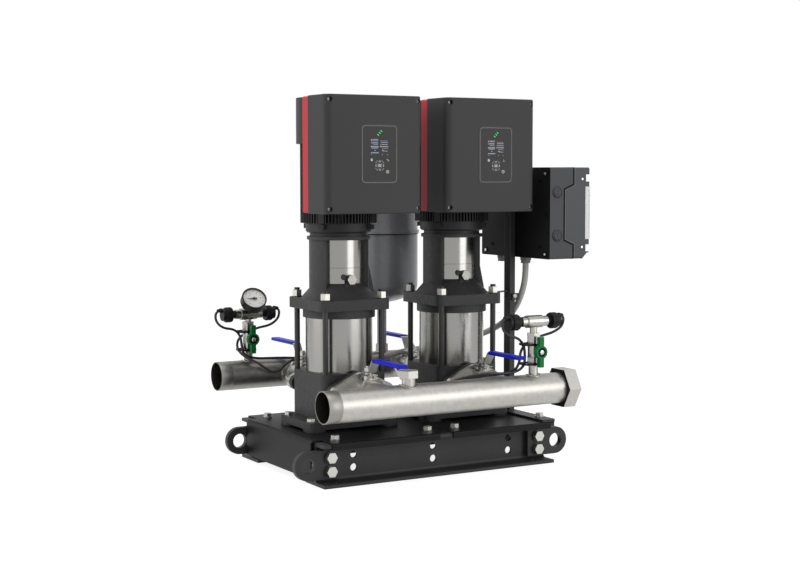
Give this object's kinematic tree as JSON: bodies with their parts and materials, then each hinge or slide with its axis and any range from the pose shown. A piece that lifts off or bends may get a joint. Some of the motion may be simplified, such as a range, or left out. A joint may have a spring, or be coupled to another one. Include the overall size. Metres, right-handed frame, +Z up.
{
  "type": "booster pump set",
  "caption": "Pressure booster set: multistage pumps with frequency drives, manifolds, valves, tank and control box on a steel base.",
  "frame": {"origin": "centre of the four floor bolts, at floor level", "axes": "+X along the manifolds towards their capped ends, +Y from suction to discharge, +Z up"},
  "size_m": [0.8459, 0.7641, 0.917],
  "materials": {
    "frame_paint": "satin black powder coat",
    "cast_black": "black cataphoretic coat on rough casting",
    "motor_paint": "black paint on aluminium",
    "stainless": "pickled stainless steel",
    "zinc": "zinc plated steel",
    "nickel": "nickel plated brass",
    "steel": "ground steel",
    "red_plastic": "red painted shell",
    "cover_plastic": "dark grey satin plastic",
    "keypad": "black keypad foil",
    "black_plastic": "black plastic",
    "green_plastic": "green plastic",
    "blue_vinyl": "blue dipped vinyl",
    "tank_paint": "grey satin paint",
    "box_plastic": "dark grey plastic",
    "lid_plastic": "dark grey plastic",
    "clear_plastic": "clear smoked plastic",
    "cable": "black cable sheath"
  },
  "bodies": {
    "frame": {"base_beams": "frame_paint", "base_trays": "frame_paint", "lifting_lugs": "frame_paint", "lug_bolts": "zinc", "hex_bolts": "zinc", "control_post": "frame_paint", "suction_manifold": "stainless", "discharge_manifold": "stainless", "manifold_caps": "stainless", "port_flanges": "zinc", "valve_bodies": "nickel", "check_valves": "nickel", "pump_casings": "cast_black", "pump_sleeves": "stainless", "chamber_stacks": "stainless", "pump_heads": "cast_black", "stay_bolts": "zinc", "coupling_guards": "stainless", "vent_plugs": "nickel", "shaft_seals": "stainless", "motor_housings": "motor_paint", "fan_cowls": "motor_paint", "drive_shells": "red_plastic", "drive_covers": "cover_plastic", "display_panels": "keypad", "sensor_valves": "nickel", "sensor_tees": "nickel", "pressure_sensors": "black_plastic", "gauge_case": "black_plastic", "diaphragm_tank": "tank_paint", "control_box": "box_plastic", "control_lid": "lid_plastic", "cable_glands": "black_plastic", "lead_rear_left": "cable", "lead_rear_right": "cable", "lead_front_right": "cable", "lead_front_left": "cable", "control_harness": "cable"},
    "rotor_1": {"shaft_1": "steel", "impellers_1": "stainless", "coupling_1": "steel"},
    "rotor_2": {"shaft_2": "steel", "impellers_2": "stainless", "coupling_2": "steel"},
    "suction_valve_1": {"suction_stem_1": "nickel", "suction_lever_1": "zinc", "suction_grip_1": "blue_vinyl"},
    "suction_valve_2": {"suction_stem_2": "nickel", "suction_lever_2": "zinc", "suction_grip_2": "blue_vinyl"},
    "discharge_valve_1": {"discharge_stem_1": "nickel", "discharge_lever_1": "zinc", "discharge_grip_1": "blue_vinyl"},
    "discharge_valve_2": {"discharge_stem_2": "nickel", "discharge_lever_2": "zinc", "discharge_grip_2": "blue_vinyl"},
    "butterfly_1": {"butterfly_handle_1": "green_plastic"},
    "butterfly_2": {"butterfly_handle_2": "green_plastic"},
    "needle": {"gauge_pointer": "black_plastic"},
    "window": {"control_window": "clear_plastic"}
  },
  "joints": [
    {"name": "rotor_spin_1", "type": "hinge", "parent": "frame", "child": "rotor_1", "pos_m": [-0.165, 0, 0.5], "axis": [0, 0, 1], "continuous": true},
    {"name": "rotor_spin_2", "type": "hinge", "parent": "frame", "child": "rotor_2", "pos_m": [0.165, 0, 0.5], "axis": [0, 0, 1], "continuous": true},
    {"name": "suction_valve_1_turn", "type": "hinge", "parent": "frame", "child": "suction_valve_1", "pos_m": [-0.165, -0.152, 0.25], "axis": [0, 0, -1], "range_deg": [0, 90]},
    {"name": "suction_valve_2_turn", "type": "hinge", "parent": "frame", "child": "suction_valve_2", "pos_m": [0.165, -0.152, 0.25], "axis": [0, 0, -1], "range_deg": [0, 90]},
    {"name": "discharge_valve_1_turn", "type": "hinge", "parent": "frame", "child": "discharge_valve_1", "pos_m": [-0.165, 0.205, 0.25], "axis": [0, 0, -1], "range_deg": [0, 90]},
    {"name": "discharge_valve_2_turn", "type": "hinge", "parent": "frame", "child": "discharge_valve_2", "pos_m": [0.165, 0.205, 0.25], "axis": [0, 0, -1], "range_deg": [0, 90]},
    {"name": "butterfly_1_turn", "type": "hinge", "parent": "frame", "child": "butterfly_1", "pos_m": [-0.276, 0.28, 0.2995], "axis": [0, 1, 0], "range_deg": [0, 90]},
    {"name": "butterfly_2_turn", "type": "hinge", "parent": "frame", "child": "butterfly_2", "pos_m": [0.212, -0.328, 0.2995], "axis": [0, 1, 0], "range_deg": [0, 90]},
    {"name": "needle_turn", "type": "hinge", "parent": "frame", "child": "needle", "pos_m": [-0.276, 0.262, 0.409], "axis": [-0.1066, -0.7586, 0.6428], "range_deg": [-225, 45]},
    {"name": "window_flap", "type": "hinge", "parent": "frame", "child": "window", "pos_m": [0.454, -0.0525, 0.7], "axis": [0, -1, 0], "range_deg": [0, 100]}
  ]
}
